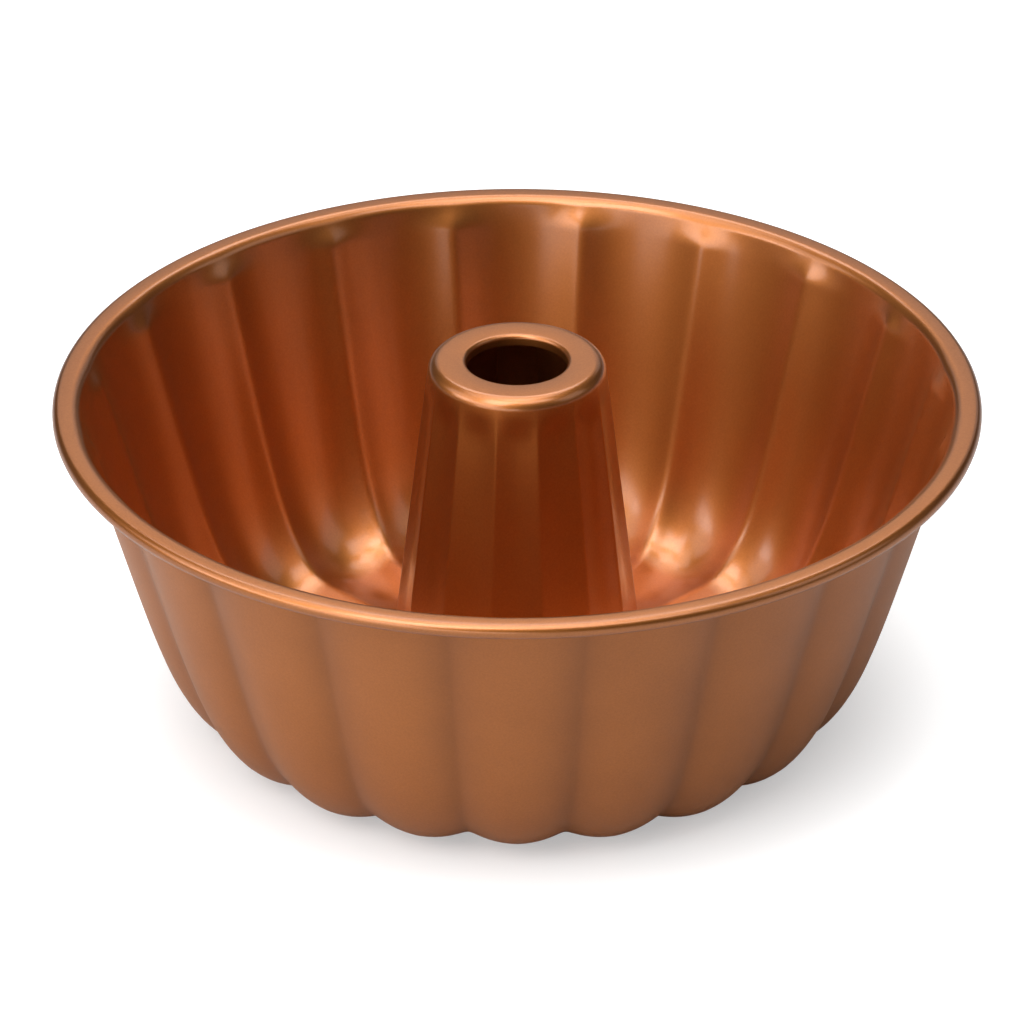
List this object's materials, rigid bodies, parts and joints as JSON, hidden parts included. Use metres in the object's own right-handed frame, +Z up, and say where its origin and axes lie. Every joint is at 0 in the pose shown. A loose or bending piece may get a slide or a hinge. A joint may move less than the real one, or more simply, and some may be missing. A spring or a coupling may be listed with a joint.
{
  "type": "fluted tube pan",
  "caption": "Round cake pan with a lobed, flaring wall, a rolled rim and a tall hollow fluted tube in the middle, for baking ring-shaped cakes.",
  "frame": {"origin": "on the surface that the pan stands on, at the middle of the circle of lobes that it rests on", "axes": "+Z up along the axis of the bowl and the tube; the picture's view looks along +Y, with +X to its right, and a lobe and a flute face -Y"},
  "size_m": [0.254, 0.254, 0.1057],
  "materials": {
    "copper_coat": "satin copper-coloured non-stick coat with a fine fleck",
    "steel_wire": "bare drawn wire"
  },
  "bodies": {
    "root": {"fluted_bowl": "copper_coat", "centre_tube": "copper_coat", "rim_wire": "steel_wire"}
  },
  "joints": []
}
